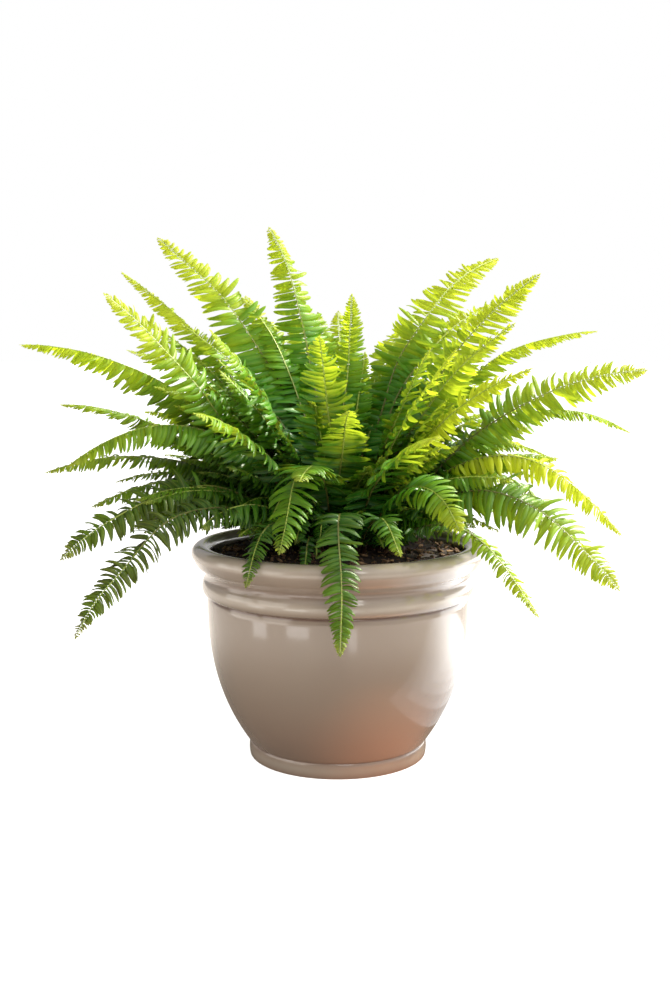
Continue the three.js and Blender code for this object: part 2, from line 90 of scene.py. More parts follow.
def edit(piece):
    pick(piece)
    bpy.ops.object.mode_set(mode="EDIT")
    bpy.ops.mesh.select_all(action="SELECT")


def smooth(piece, degrees):
    pick(piece)
    bpy.ops.object.shade_smooth_by_angle(angle=math.radians(degrees))


def finish(piece, slot, *nodes):
    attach(piece, "root")
    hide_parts(*nodes)
    print(piece.name, len(piece.data.polygons), "faces, stands for", ", ".join(nodes) or "nothing")


# %% [markdown]
# A pot is thrown on a wheel, so it is a profile spun about an axis. The profile is drawn as a
# potter reads it, from the middle of the underside up the outside to the lip and down the inside.
# One vertex is extruded from point to point, and the line is then spun. The sizes are the CAD pot's
# own, in mm, with more points on every curve.

# %% The pot's profile
FOOT_RADIUS, FOOT_WAIST, FOOT_HEIGHT = 81.5, 80.3, 13.5
BELLY_RADIUS, SWELL = 118.4, 2.6
BEAD_RADIUS, BEAD_BOTTOM, BEAD_TOP = 123.2, 149.7, 165.7
NECK_RADIUS, NECK_TOP = 120.2, 168.0
LIP_RADIUS, LIP_HALF, MOUTH_RADIUS = 132.5, 8.0, 114.5
THROAT_RADIUS, THROAT_HEIGHT = 112.5, 173.5
POT_HEIGHT, WALL, FLOOR_TOP = 195.5, 7.0, 12.0
# The groove under the bead and the hollow under the lip: out from a radius, and up from a height.
GROOVE = [(-0.3, -1.6), (-0.8, -0.8), (-0.5, -0.1)]
UNDER_LIP = [
    (0.0, -1.4), (0.0, 0.2), (0.4, 2.0), (1.3, 3.6), (3.0, 5.2), (5.2, 6.9), (7.2, 8.9), (8.8, 11.2)
]
SPIN_STEPS = 144


def body_radius(z):
    share = np.clip((z - FOOT_HEIGHT) / (BEAD_BOTTOM - FOOT_HEIGHT), 0, 1)
    return FOOT_WAIST + (BELLY_RADIUS - FOOT_WAIST) * (1 - (1 - share) ** SWELL)


def body_heights(steps):
    return FOOT_HEIGHT + (BEAD_BOTTOM - FOOT_HEIGHT) * (np.arange(steps + 1) / steps) ** 1.5


def arc(centre_r, centre_z, radius_r, radius_z, start, end, steps):
    angles = np.radians(np.linspace(start, end, steps + 1))
    return [(centre_r + radius_r * math.cos(a), centre_z + radius_z * math.sin(a)) for a in angles]


def pot_profile():
    bead_middle, bead_half = (BEAD_BOTTOM + BEAD_TOP) / 2, (BEAD_TOP - BEAD_BOTTOM) / 2
    lip_thick = (LIP_RADIUS - MOUTH_RADIUS) / 2
    outside = [(body_radius(z), z) for z in body_heights(26)[:-1]]
    inside = [(body_radius(z) - WALL, z) for z in body_heights(12)[:0:-1]]
    return [
        (0, 0),
        *arc(FOOT_WAIST, FOOT_HEIGHT / 2, FOOT_RADIUS - FOOT_WAIST, FOOT_HEIGHT / 2, -90, 80, 12),
        *outside,
        *[(BELLY_RADIUS + out, BEAD_BOTTOM + up) for out, up in GROOVE],
        *arc(BELLY_RADIUS, bead_middle, BEAD_RADIUS - BELLY_RADIUS, bead_half, -76, 56, 14),
        *[(NECK_RADIUS + out, NECK_TOP + up) for out, up in UNDER_LIP],
        *arc(LIP_RADIUS - lip_thick, POT_HEIGHT - LIP_HALF, lip_thick, LIP_HALF, -38, 180, 22),
        (THROAT_RADIUS, THROAT_HEIGHT),
        *inside,
        (FOOT_WAIST - WALL, FLOOR_TOP),
        (0, FLOOR_TOP),
    ]


print("pot profile of", len(pot_profile()), "points")


# %% Draw the profile and spin it
def draw_line(name, profile):
    """One vertex, extruded from point to point: x is the radius and z the height, in mm."""
    points = [Vector((r, 0, z)) * MM for r, z in profile]
    deselect()
    bpy.ops.mesh.primitive_plane_add(size=MM)
    line = bpy.context.object
    line.name = line.data.name = name
    bpy.ops.object.mode_set(mode="EDIT")
    bpy.ops.mesh.merge(type="CENTER")
    bpy.ops.transform.translate(value=points[0])
    for here, there in zip(points, points[1:]):
        bpy.ops.mesh.extrude_vertices_move(TRANSFORM_OT_translate={"value": there - here})
    return line


def spin(name, profile, steps):
    """A closed turned shape: the line spun, its seam and poles merged, its normals made right."""
    turned = draw_line(name, profile)
    bpy.ops.mesh.select_all(action="SELECT")
    bpy.ops.mesh.spin(steps=steps, angle=math.tau, center=(0, 0, 0), axis=(0, 0, 1))
    bpy.ops.mesh.select_all(action="SELECT")
    bpy.ops.mesh.remove_doubles(threshold=0.00002)
    bpy.ops.mesh.normals_make_consistent(inside=False)
    bpy.ops.object.mode_set(mode="OBJECT")
    return turned


pot = spin("pot_glazed", pot_profile(), SPIN_STEPS)
print("pot:", len(pot.data.polygons), "faces,", [round(v / MM) for v in pot.dimensions], "mm")

# %% [markdown]
# A pot for a living plant has holes that drain its floor. Three plain cylinders are cut out of the
# turned shape, where the CAD pot has them.

# %% Cut the drain holes
DRAIN_COUNT, DRAIN_RADIUS, DRAIN_RING = 3, 7.0, 38.0

for index in range(DRAIN_COUNT):
    turn = math.tau * index / DRAIN_COUNT + math.pi / 2
    deselect()
    bpy.ops.mesh.primitive_cylinder_add(
        vertices=48,
        radius=DRAIN_RADIUS * MM,
        depth=3 * FLOOR_TOP * MM,
        location=(DRAIN_RING * math.cos(turn) * MM, DRAIN_RING * math.sin(turn) * MM, 0),
    )
    drill = bpy.context.object
    pick(pot)
    cut = pot.modifiers.new("drain", "BOOLEAN")
    cut.operation, cut.object, cut.solver = "DIFFERENCE", drill, "EXACT"
    bpy.ops.object.modifier_apply(modifier=cut.name)
    bpy.data.objects.remove(drill)
smooth(pot, 50)
finish(pot, "glaze", "pot")

# %% [markdown]
# The potting mix fills the pot to just under the lip and mounds up in the middle. It is spun as
# well, and its top is then lifted and lowered vertex by vertex: the CAD soil's slow waves, and on
# them the roughness of fine crumbs.

# %% The soil
SOIL_GAP, SOIL_LEVEL, SOIL_MOUND, SOIL_CRUMB = 0.4, 185.0, 6.0, 1.6
SOIL_ROUGH = 1.3  # height of the fine roughness
SOIL_EDGE = MOUTH_RADIUS - 0.9  # radius of the soil's top
SOIL_RIM = 3  # width of the rim in which the waves die down towards the wall
SOIL_STEPS, SOIL_RINGS = 168, 60


def soil_height(x, y):
    """Height of the soil's surface in mm, at a place in mm."""
    mean = SOIL_LEVEL + SOIL_MOUND * max(0.0, 1 - (math.hypot(x, y) / MOUTH_RADIUS) ** 2)
    coarse = math.sin(x / 7.3 + 0.8) * math.cos(y / 6.1)
    fine = math.sin((x + y) / 3.7) * math.cos((x - 1.6 * y) / 4.9)
    rough = noise.fractal(Vector((x, y, 0)) / 5.2, 0.6, 2.1, 4)
    return mean + SOIL_CRUMB * (0.6 * coarse + 0.4 * fine) + SOIL_ROUGH * rough


def soil_profile():
    wall = [(body_radius(z) - WALL - SOIL_GAP, z) for z in body_heights(8)]
    wall[0] = (wall[0][0], FLOOR_TOP + SOIL_GAP)
    wall.append((THROAT_RADIUS - SOIL_GAP, THROAT_HEIGHT))
    top = [(r, SOIL_LEVEL) for r in np.linspace(SOIL_EDGE, 0, SOIL_RINGS)]
    return [(0, FLOOR_TOP + SOIL_GAP), *wall, *top]


soil = spin("soil_surface", soil_profile(), SOIL_STEPS)
for vertex in soil.data.vertices:
    x, y, z = vertex.co
    if z > (SOIL_LEVEL - 1) * MM:
        inward = np.clip((SOIL_EDGE * MM - math.hypot(x, y)) / (SOIL_RIM * MM), 0, 1)
        vertex.co.z += (soil_height(x / MM, y / MM) * MM - z) * (0.35 + 0.65 * inward)
smooth(soil, 80)
finish(soil, "potting_soil", "soil")

# %% [markdown]
# Potting mix is crumbs of peat and chips of bark. Four crumbs and three chips are modelled, each
# from a primitive with few faces, and many copies are strewn over the soil at random sizes and
# turns. All crumbs go into one mesh, and all chips into another.


# %% Model the crumbs and chips
def take_mesh(piece):
    """The points and faces of a small model, which is then thrown away."""
    deselect()
    mesh = piece.data
    points = np.array([v.co for v in mesh.vertices])
    faces = [tuple(p.vertices) for p in mesh.polygons]
    bpy.data.objects.remove(piece)
    return points, faces


def crumb(seed):
    random = np.random.default_rng(seed)
    deselect()
    bpy.ops.mesh.primitive_ico_sphere_add(subdivisions=1, radius=1)
    piece = bpy.context.object
    for vertex in piece.data.vertices:
        vertex.co *= random.uniform(0.62, 1.15)
        vertex.co.z *= 0.8
    return take_mesh(piece)


def chip(seed):
    random = np.random.default_rng(seed)
    deselect()
    bpy.ops.mesh.primitive_cube_add(size=2)
    piece = bpy.context.object
    edit(piece)
    bpy.ops.mesh.bevel(offset=0.25, segments=1, affect="EDGES")
    bpy.ops.object.mode_set(mode="OBJECT")
    lean = random.uniform(-0.35, 0.35, 2)
    for vertex in piece.data.vertices:
        narrow = 1 - 0.22 * (vertex.co.x + 1)
        vertex.co.y = (vertex.co.y * narrow + lean[0] * vertex.co.x) * 0.5
        vertex.co.z = vertex.co.z * 0.24 + 0.12 * lean[1] * vertex.co.x * vertex.co.y
        vertex.co += Vector(random.uniform(-0.07, 0.07, 3))
    return take_mesh(piece)


crumbs = [crumb(seed) for seed in range(4)]
chips = [chip(seed) for seed in range(3)]
print("crumbs of", len(crumbs[0][1]), "faces, chips of", len(chips[0][1]), "faces")


# %% Strew them over the soil
CRUMB_COUNT, CRUMB_SIZES = 1300, (0.7, 2.4)  # half widths, in mm
CHIP_COUNT, CHIP_SIZES = 260, (1.5, 4.4)
MOSTLY_SMALL = 1.7  # 1 would be an even spread of sizes
TILT = 0.35


def build_mesh(name, points, faces):
    mesh = bpy.data.meshes.new(name)
    mesh.from_pydata(points, [], faces)
    piece = bpy.data.objects.new(name, mesh)
    bpy.context.scene.collection.objects.link(piece)
    return piece


def strew(name, models, count, sizes, seed):
    random = np.random.default_rng(seed)
    points, faces = [], []
    for _ in range(count):
        model_points, model_faces = models[random.integers(len(models))]
        size = sizes[0] * (sizes[1] / sizes[0]) ** (random.random() ** MOSTLY_SMALL)
        r = (SOIL_EDGE - size) * math.sqrt(random.random())
        angle = random.uniform(0, math.tau)
        x, y = r * math.cos(angle), r * math.sin(angle)
        place = Vector((x, y, soil_height(x, y) + 0.2 * size)) * MM
        turn = Matrix.Rotation(random.normal(0, TILT), 3, "X")
        turn = turn @ Matrix.Rotation(random.normal(0, TILT), 3, "Y")
        turn = turn @ Matrix.Rotation(random.uniform(0, math.tau), 3, "Z")
        start = sum(len(p) for p in points)
        points.append(model_points @ np.array(turn).T * size * MM + np.array(place))
        faces += [tuple(i + start for i in face) for face in model_faces]
    return build_mesh(name, np.concatenate(points).tolist(), faces)


crumb_bed = strew("soil_crumbs", crumbs, CRUMB_COUNT, CRUMB_SIZES, 5)
finish(crumb_bed, "potting_soil")
chip_bed = strew("bark_chips", chips, CHIP_COUNT, CHIP_SIZES, 6)
finish(chip_bed, "potting_soil")

# %% [markdown]
# Each frond is a CAD node of loose triangles. Its rib is a chain of rings of three corners, all
# triangles of one shape, and each leaflet is a wedge whose tip is joined to two neighbouring rings.
# That is enough to read the rib and the leaflets back from a merged copy, so that the fine frond
# lies where its solid does without any number written down twice.

# %% Read a frond back from its CAD node
RING_WIDTH, RING_DEPTH = 2.7, 2.0
RING_RATIO = RING_WIDTH / math.hypot(RING_WIDTH / 2, RING_DEPTH)  # a ring's width to its slope
BARE_RINGS = 3  # rings on the stalk, before the first leaflet


def unit(vectors):
    return vectors / np.linalg.norm(vectors, axis=-1, keepdims=True)


def merged(node):
    """Points, neighbours of each point, and faces of a CAD node whose doubles are merged."""
    work = bmesh.new()
    work.from_mesh(node.data)
    bmesh.ops.remove_doubles(work, verts=work.verts, dist=0.02 * MM)
    work.verts.index_update()
    points = np.array([v.co for v in work.verts])
    near = [{e.other_vert(v).index for e in v.link_edges} for v in work.verts]
    faces = {frozenset(v.index for v in f.verts) for f in work.faces}
    work.free()
    return points, near, faces


def find_rings(points, near):
    """Triples of joined points whose triangle has a ring's shape. The keel comes last."""
    rings = set()
    for a in range(len(points)):
        for b in near[a]:
            if b < a or np.linalg.norm(points[a] - points[b]) > RING_WIDTH * 1.02 * MM:
                continue
            for c in near[a] & near[b]:
                sides = [np.linalg.norm(points[i] - points[c]) for i in (a, b)]
                width = np.linalg.norm(points[a] - points[b])
                if max(abs(width / side - RING_RATIO) for side in sides) < 0.02:
                    rings.add((a, b, c))
    return sorted(rings)


def chain(rings, near, faces):
    """The rings in order from the buried end, whose three corners are a face, to the tip."""
    reached = {ring: set().union(*(near[i] for i in ring)) for ring in rings}
    here = next(ring for ring in rings if frozenset(ring) in faces)
    order = [here]
    while len(order) < len(rings):
        here = next(r for r in rings if r not in order and set(r) & reached[here])
        order.append(here)
    return order


def read_frond(node):
    points, near, faces = merged(node)
    order = chain(find_rings(points, near), near, faces)
    middle = np.array([(points[a] + points[b]) / 2 for a, b, _ in order])
    up = unit(np.array([(points[a] + points[b]) / 2 - points[c] for a, b, c in order]))
    forward = unit(np.gradient(middle, axis=0))
    right = unit(np.cross(forward, up))
    in_rings = {i for ring in order for i in ring}
    apex = points[next(i for i in near[order[-1][0]] - in_rings
                       if all(i in near[c] for c in order[-1]))]
    tips = {}
    for hand in (1, -1):
        edge = [max(ring[:2], key=lambda i: hand * (points[i] - m) @ r)
                for ring, m, r in zip(order, middle, right)]
        for gap in range(len(order) - 1):
            found = (near[edge[gap]] & near[edge[gap + 1]]) - in_rings
            if found:
                tip = max(found, key=lambda i: points[i] @ up[gap])
                tips[gap, hand] = points[tip]
    middle = np.vstack([middle, apex])
    up, right = np.vstack([up, up[-1]]), np.vstack([right, right[-1]])
    length = np.concatenate([[0], np.cumsum(np.linalg.norm(np.diff(middle, axis=0), axis=1))])
    return {"middle": middle, "up": up, "right": right, "length": length, "tips": tips}


def span(lengths):
    return f"from {round(min(lengths) / MM)} to {round(max(lengths) / MM)} mm"


ribs = {name: read_frond(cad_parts[name]) for name in frond_names}
print("ribs", span([rib["length"][-1] for rib in ribs.values()]), "long,",
      sum(len(rib["tips"]) for rib in ribs.values()), "CAD leaflets")


# %% A smooth line through a rib's rings
def along_rib(rib, where):
    """Points and the forward, right and upper directions at lengths measured along a rib."""
    length, middle = rib["length"], rib["middle"]
    tangent = np.gradient(middle, length, axis=0)
    i = np.clip(np.searchsorted(length, where, side="right") - 1, 0, len(length) - 2)
    step = (length[i + 1] - length[i])[:, None]
    t = np.clip((where - length[i])[:, None] / step, 0, 1)
    point = (
        (2 * t**3 - 3 * t**2 + 1) * middle[i] + (t**3 - 2 * t**2 + t) * step * tangent[i]
        + (3 * t**2 - 2 * t**3) * middle[i + 1] + (t**3 - t**2) * step * tangent[i + 1]
    )
    forward = unit(tangent[i] * (1 - t) + tangent[i + 1] * t)
    right = rib["right"][i] * (1 - t) + rib["right"][i + 1] * t
    right = unit(right - (right * forward).sum(1, keepdims=True) * forward)
    return point, forward, right, np.cross(right, forward)


# %% [markdown]
# A leaflet of this fern is a thin oblong blade with a blunt point, a small ear at its foot on the
# side of the frond's tip, and a vein down its middle. A grid is shaped to the outline, extruded
# downwards, and its rim is merged, which leaves a closed blade like a flat lens. It is modelled
# twice, the second time with less than a third of the faces, for the young fronds in the heart of
# the clump. Later it is bent, widened and turned for each place on a rib.

# %% Model the leaflet
# Share of the length, half width on the side of the frond's tip, and on the side of its foot.
LEAFLET_OUTLINE = [
    (0.00, 0.78, 0.60),
    (0.07, 1.12, 0.82),
    (0.22, 1.00, 0.98),
    (0.42, 0.92, 1.00),
    (0.62, 0.82, 0.92),
    (0.80, 0.64, 0.75),
    (0.93, 0.38, 0.47),
    (1.00, 0.03, 0.03),
]


def model_leaflet(outline, strips):
    columns = len(outline) - 1
    deselect()
    bpy.ops.mesh.primitive_grid_add(x_subdivisions=columns, y_subdivisions=strips, size=2)
    piece = bpy.context.object
    edit(piece)
    bpy.ops.mesh.extrude_region_move(TRANSFORM_OT_translate={"value": (0, 0, -1)})
    bpy.ops.object.mode_set(mode="OBJECT")
    for vertex in piece.data.vertices:
        x, y, z = vertex.co
        column = round((x + 1) / 2 * columns)
        on_rim = column in (0, columns) or abs(y) > 0.99
        share, ahead, behind = outline[column]
        thick = 0 if on_rim else (z + 0.5) * (1 - y * y)
        vertex.co = (share, y * (ahead if y > 0 else behind), thick)
    edit(piece)
    bpy.ops.mesh.remove_doubles(threshold=0.001)
    bpy.ops.mesh.normals_make_consistent(inside=False)
    return take_mesh(piece)


fine_leaflet = model_leaflet(LEAFLET_OUTLINE, 4)
small_leaflet = model_leaflet(LEAFLET_OUTLINE[:1] + LEAFLET_OUTLINE[1::2], 2)
print("leaflets of", len(fine_leaflet[1]), "and", len(small_leaflet[1]), "faces")

# %% [markdown]
# The rib under the leaflets is a long tapering stalk with a shallow groove on its upper side. One
# ring of eight vertices is extruded along a straight line, and each frond bends a copy of that
# tube along its own line.

# %% Model the rib
RIB_STEPS = 44


def model_rib():
    deselect()
    bpy.ops.mesh.primitive_circle_add(vertices=8, radius=1, fill_type="NGON")
    piece = bpy.context.object
    edit(piece)
    for _ in range(RIB_STEPS):
        bpy.ops.mesh.extrude_region_move(TRANSFORM_OT_translate={"value": (0, 0, 1)})
    bpy.ops.mesh.select_all(action="SELECT")
    bpy.ops.mesh.normals_make_consistent(inside=False)
    bpy.ops.object.mode_set(mode="OBJECT")
    for vertex in piece.data.vertices:
        if vertex.co.y > 0.9:
            vertex.co.y = 0.45  # the groove
    return take_mesh(piece)


rib_points, rib_faces = model_rib()
print("rib:", len(rib_points), "points,", len(rib_faces), "faces")

# %% [markdown]
# Leaflets stand in two rows, a little out of step, and close enough to shade each other. How long
# the leaflets of a frond are and how much they droop is read from its CAD leaflets. The solid
# leaves leaflets out where another frond is in the way, but thin blades can lie on each other, so
# the fine frond has them all. Small random twists, bends and waves keep the rows from looking
# stamped.

# %% What kind of leaflets a frond has
SWEEP_AT_BASE, SWEEP_AT_TIP = 2, 30  # degrees that a leaflet leans towards the tip of its frond
SWAY, SWAY_LENGTH = 3.5 * MM, 75 * MM
OWN_DROOP = 0.4  # how much of a CAD leaflet's own bend its fine neighbours keep
OLD_SLOPE, SLOPE_SPAN = 0.76, 0.22  # sine of an old stalk's slope, and what a young one has more
LONGEST = 92  # percentile of a frond's leaflets, which leaves out a few odd ones
RUFFLE, CALM = 1.9, 0.9  # how restless old leaflets are, and how much less young ones


def ripple(here, seed, wavelength):
    """A smooth random number from -1 to 1 that changes slowly along a frond."""
    return 1.8 * noise.noise(Vector((here / wavelength, seed * 7.31, 0.5)))


def leaflet_share(along):
    """How long a leaflet is for its place, as a share of its frond's longest."""
    along = np.clip(along, 0, 1)
    return np.minimum(1, 0.6 + 1.4 * along) * (1 - along**3.0) ** 0.78


def youth(rib):
    """1 on upright young fronds, falling to 0 on the lowest and oldest."""
    stalk = unit(rib["middle"][1] - rib["middle"][0])
    return float(np.clip((stalk[2] - OLD_SLOPE) / SLOPE_SPAN, 0, 1))


def read_habit(rib):
    """The longest leaflet of a frond, the lengths at which it has CAD leaflets, and their droop."""
    start, end = rib["length"][BARE_RINGS], rib["length"][-1]
    place, size, droop = [], [], []
    for (gap, hand), tip in rib["tips"].items():
        here = rib["length"][gap] * 0.45 + rib["length"][gap + 1] * 0.55
        point, forward, right, up = (v[0] for v in along_rib(rib, np.array([here])))
        out = tip - point
        place.append(here)
        size.append(np.linalg.norm(out) / max(0.25, leaflet_share((here - start) / (end - start))))
        droop.append(math.atan2(-out @ up, abs(out @ right)))
    usual = np.median(droop)
    order = np.argsort(place)
    own = usual + (np.array(droop)[order] - usual) * OWN_DROOP
    return {
        "longest": np.percentile(size, LONGEST), "places": np.array(place)[order], "droop": own,
        "ruffle": RUFFLE - CALM * youth(rib),
    }


habits = {name: read_habit(rib) for name, rib in ribs.items()}


def sway(rib, seed):
    """The same rib with the slow bends of a real one, a few millimetres to the side and up."""
    here = rib["length"]
    grown = np.clip((here - here[BARE_RINGS]) / (60 * MM), 0, 1)[:, None]
    aside = np.array([ripple(at, seed, SWAY_LENGTH) for at in here])[:, None]
    above = np.array([ripple(at, seed + 0.37, SWAY_LENGTH) for at in here])[:, None]
    middle = rib["middle"] + grown * SWAY * (aside * rib["right"] + 0.6 * above * rib["up"])
    return {**rib, "middle": middle}


ribs = {name: sway(rib, 0.61 * index) for index, (name, rib) in enumerate(ribs.items())}
print("longest leaflets", span([habit["longest"] for habit in habits.values()]))

# %% Build a fine frond
PITCH_SHARE, PITCH_LEAST, PITCH_MOST = 0.20, 3.6, 5.6  # leaflet spacing, from the longest leaflet
OPEN_FRONDS = {"frond_11": 1.25, "frond_12": 1.15, "frond_09": 1.1}  # with wider spaced leaflets
ROW_STARTS = {1: 0.2, -1: 0.65}  # where the row on each hand begins, in spacings
CLOSING = 0.64  # how much closer the leaflets stand at the tip
BLADE_THICK = 0.36 * MM
BLADE_HALF = 0.56  # half width of a leaflet, as a share of the spacing
SHORTEST = 1.8 * MM
LENGTHS, LENGTH_WAVE = (0.90, 1.04), 0.09  # how lengths differ at random and in slow waves
DROOP_SPREAD, DROOP_WAVE = 0.15, 0.18  # the same for the droop, in radians
TWIST_SPREAD, TWIST_WAVE = 0.27, 0.26  # and for the twist
SWEEP_SPREAD = 0.07
WAVE_LENGTH = 26 * MM
RIB_HALF, RIB_TIP = 1.2, 0.36  # half width of the rib at its foot and at its tip
LEAFLET_SPAN = 2.4  # width of the map across a leaflet, which all of its outline lies in
TOP_TONE = 0.85  # a frond that is turning yellow has 1 instead


def leaflet_rows(rib, habit, openness, random):
    """Where leaflets stand: length along the rib, hand, and the spacing there."""
    pitch = np.clip(PITCH_SHARE * habit["longest"] / MM, PITCH_LEAST, PITCH_MOST) * MM * openness
    start, end = rib["length"][BARE_RINGS], rib["length"][-1]
    rows = []
    for hand, first in ROW_STARTS.items():
        here = start + pitch * first
        while here < end - 1.5 * MM:
            share = (here - start) / (end - start)
            step = pitch * (1 - CLOSING * share**2.2)
            rows.append((here, hand, step))
            here += step * random.uniform(0.92, 1.08)
    return rows


def blade(model, rib, habit, here, hand, pitch, lean, random):
    """One leaflet's points: the model, bent and widened for its place."""
    start, end = rib["length"][BARE_RINGS], rib["length"][-1]
    along = (here - start) / (end - start)
    slow = [ripple(here, lean + hand + i, WAVE_LENGTH) for i in range(3)]
    length = habit["longest"] * leaflet_share(along) * random.uniform(*LENGTHS)
    length = max(SHORTEST, length * (1 + LENGTH_WAVE * slow[0]))
    droop = np.interp(here, habit["places"], habit["droop"])
    droop += habit["ruffle"] * (random.normal(0, DROOP_SPREAD) + DROOP_WAVE * slow[1])
    sweep = math.radians(SWEEP_AT_BASE + (SWEEP_AT_TIP - SWEEP_AT_BASE) * along)
    sweep += random.normal(0, SWEEP_SPREAD)
    point, forward, right, up = (v[0] for v in along_rib(rib, np.array([here])))
    side = right * hand * math.cos(droop) - up * math.sin(droop)
    outward = side * math.cos(sweep) + forward * math.sin(sweep)
    ahead = unit(forward - (forward @ outward) * outward)
    normal = np.cross(outward, ahead) * hand
    twist = lean + habit["ruffle"] * (random.normal(0, TWIST_SPREAD) + TWIST_WAVE * slow[2])
    ahead, normal = (
        ahead * math.cos(twist) + normal * math.sin(twist),
        normal * math.cos(twist) - ahead * math.sin(twist),
    )
    half = min(BLADE_HALF * pitch, 0.34 * length)
    x, y, z = model.T
    arch = random.uniform(0.03, 0.10) * length * 4 * x * (1 - x)  # the middle stands up
    nod = random.uniform(0.04, 0.22) * length * x**2  # the tip hangs
    fold = half * (0.12 * np.abs(y) - 0.46 * y**2)  # both edges hang a little
    wave = half * habit["ruffle"] * random.uniform(0.05, 0.16)
    wave = wave * np.sin(x * 9 + random.uniform(0, 6)) * y  # and aren't quite even
    bow = random.uniform(0.05, 0.32) * length * (x * x - x)  # the blade curves towards the tip
    return (
        point + right * hand * RIB_HALF * 0.5 * MM
        + np.outer(x * length, outward)
        + np.outer(y * half + bow, ahead)
        + np.outer(z * BLADE_THICK + (arch - nod) + fold + wave, normal)
    )


def end_leaflet(model, rib):
    """The last small leaflet, which points on from the rib's tip."""
    point, forward, right, up = (v[0] for v in along_rib(rib, rib["length"][-1:] - 2.6 * MM))
    x, y, z = model.T
    return (
        point + np.outer(x * 3.2 * MM, forward) + np.outer(y * 0.9 * MM, right)
        + np.outer(z * BLADE_THICK, up)
    )


def rib_tube(rib):
    """The rib's points along its line, and how far along each is from 0 to 1."""
    share = rib_points[:, 2] / RIB_STEPS
    point, forward, right, up = along_rib(rib, share * rib["length"][-1])
    half = (RIB_HALF + (RIB_TIP - RIB_HALF) * share) * MM
    half = half * np.clip((1.003 - share) * 40, 0.15, 1)
    return (
        point + right * (rib_points[:, 0] * half)[:, None]
        + up * ((rib_points[:, 1] - 0.35) * half)[:, None], share
    )


def grow_frond(leaflet, rib, habit, openness, tone, seed):
    """A frond's points, faces and materials, and two maps: on a leaflet, and along the frond."""
    random = np.random.default_rng(seed)
    leaflet_points, leaflet_faces = leaflet
    if tone < 1:
        tone = np.clip(tone + random.normal(0, 0.12), 0, TOP_TONE)
    lean = random.normal(0.14, 0.12)
    points, share = rib_tube(rib)
    points, faces, materials = [points], list(rib_faces), [1] * len(rib_faces)
    leaf_map, frond_map = [np.full((len(share), 2), 0.5)], [np.stack([share, share * 0 + tone], 1)]
    on_leaflet = np.stack([leaflet_points[:, 1] / LEAFLET_SPAN + 0.5, leaflet_points[:, 0]], 1)
    count = len(share)
    blades = [
        (blade(leaflet_points, rib, habit, here, hand, pitch, lean, random), hand, here)
        for here, hand, pitch in leaflet_rows(rib, habit, openness, random)
    ]
    blades.append((end_leaflet(leaflet_points, rib), -1, rib["length"][-1]))
    for shape, hand, here in blades:
        points.append(shape)
        for face in leaflet_faces:  # a blade on the left is mirrored, so its faces are turned
            faces.append(tuple(i + count for i in (face if hand > 0 else face[::-1])))
        materials += [0] * len(leaflet_faces)
        leaf_map.append(on_leaflet)
        own_tone = min(tone + random.normal(0, 0.07), TOP_TONE) if tone < 1 else tone
        frond_map.append(np.full((len(shape), 2), (here / rib["length"][-1], max(0, own_tone))))
        count += len(shape)
    return {
        "points": np.concatenate(points), "faces": faces, "materials": materials,
        "leaflet": np.concatenate(leaf_map), "frond": np.concatenate(frond_map),
    }


def make_fronds(name, grown, *nodes):
    """One piece of one or more grown fronds, which stands for the CAD nodes named."""
    faces, count = [], 0
    for frond in grown:
        faces += [tuple(i + count for i in face) for face in frond["faces"]]
        count += len(frond["points"])
    points = np.concatenate([frond["points"] for frond in grown])
    piece = build_mesh(name, points.tolist(), faces)
    mesh = piece.data
    corners = np.empty(len(mesh.loops), np.int32)
    mesh.loops.foreach_get("vertex_index", corners)
    for layer in ("leaflet", "frond"):
        values = np.concatenate([frond[layer] for frond in grown])[corners]
        uv = mesh.uv_layers.new(name=layer)
        uv.data.foreach_set("uv", values.astype(np.float32).ravel())
    mesh.polygons.foreach_set("material_index", sum((frond["materials"] for frond in grown), []))
    mesh.polygons.foreach_set("use_smooth", [True] * len(mesh.polygons))
    mesh.set_sharp_from_angle(angle=math.radians(75))
    mesh.calc_loop_triangles()
    finish(piece, "leaf", *nodes)
    return piece


# %% Build them all
YELLOW_FRONDS = ("frond_21", "frond_25")  # two that are turning yellow
FIRST_SEED, FIRST_YOUNG_SEED = 100, 300


def tone_of(name):
    return 1 if name in YELLOW_FRONDS else 0.1 + 0.6 * youth(ribs[name])


fronds = []
for index, name in enumerate(frond_names):
    openness, tone = OPEN_FRONDS.get(name, 1), tone_of(name)
    grown = grow_frond(fine_leaflet, ribs[name], habits[name], openness, tone, FIRST_SEED + index)
    fronds.append(make_fronds("fern_" + name, [grown], name))
print(sum(len(p.data.polygons) for p in fronds), "faces in", len(fronds), "fronds")

# %% [markdown]
# The heart of the clump is crowded with younger, shorter fronds, more than the solid has nodes for.
# Each is grown beside one that is already there: its line is turned a little round the pot's axis,
# drawn in towards its own foot so that it stays inside the plant's outline, and lifted until it
# clears the pot's lip. Nearly half of them are only just out of the soil, and close the clump above
# the rim. Those that would come far forward are left out, because they would hide the arching
# fronds of the front. They are joined in twelve pieces, one for each part of the round.

# %% Fill the heart with young fronds
YOUNG_COUNT, YOUNG_PIECES = 320, 12
SHORT_FROM = 180  # the young fronds from this one on are the shortest
YOUNG_SIZES, SHORT_SIZES = (0.5, 0.82), (0.28, 0.46)  # as shares of the frond that each is beside
TURNS = (0.1, 0.42)  # radians round the pot's axis, to either side
LIFTS = np.arange(0, 1.2, 0.1)  # radians: the first that clears the lip is taken
LIP_MARGIN = 14.0  # clear height that a young frond keeps over the lip
FRONT_REACH, FRONT_HALF = 85.0, 175.0  # the front, where no young frond hides one seen by itself


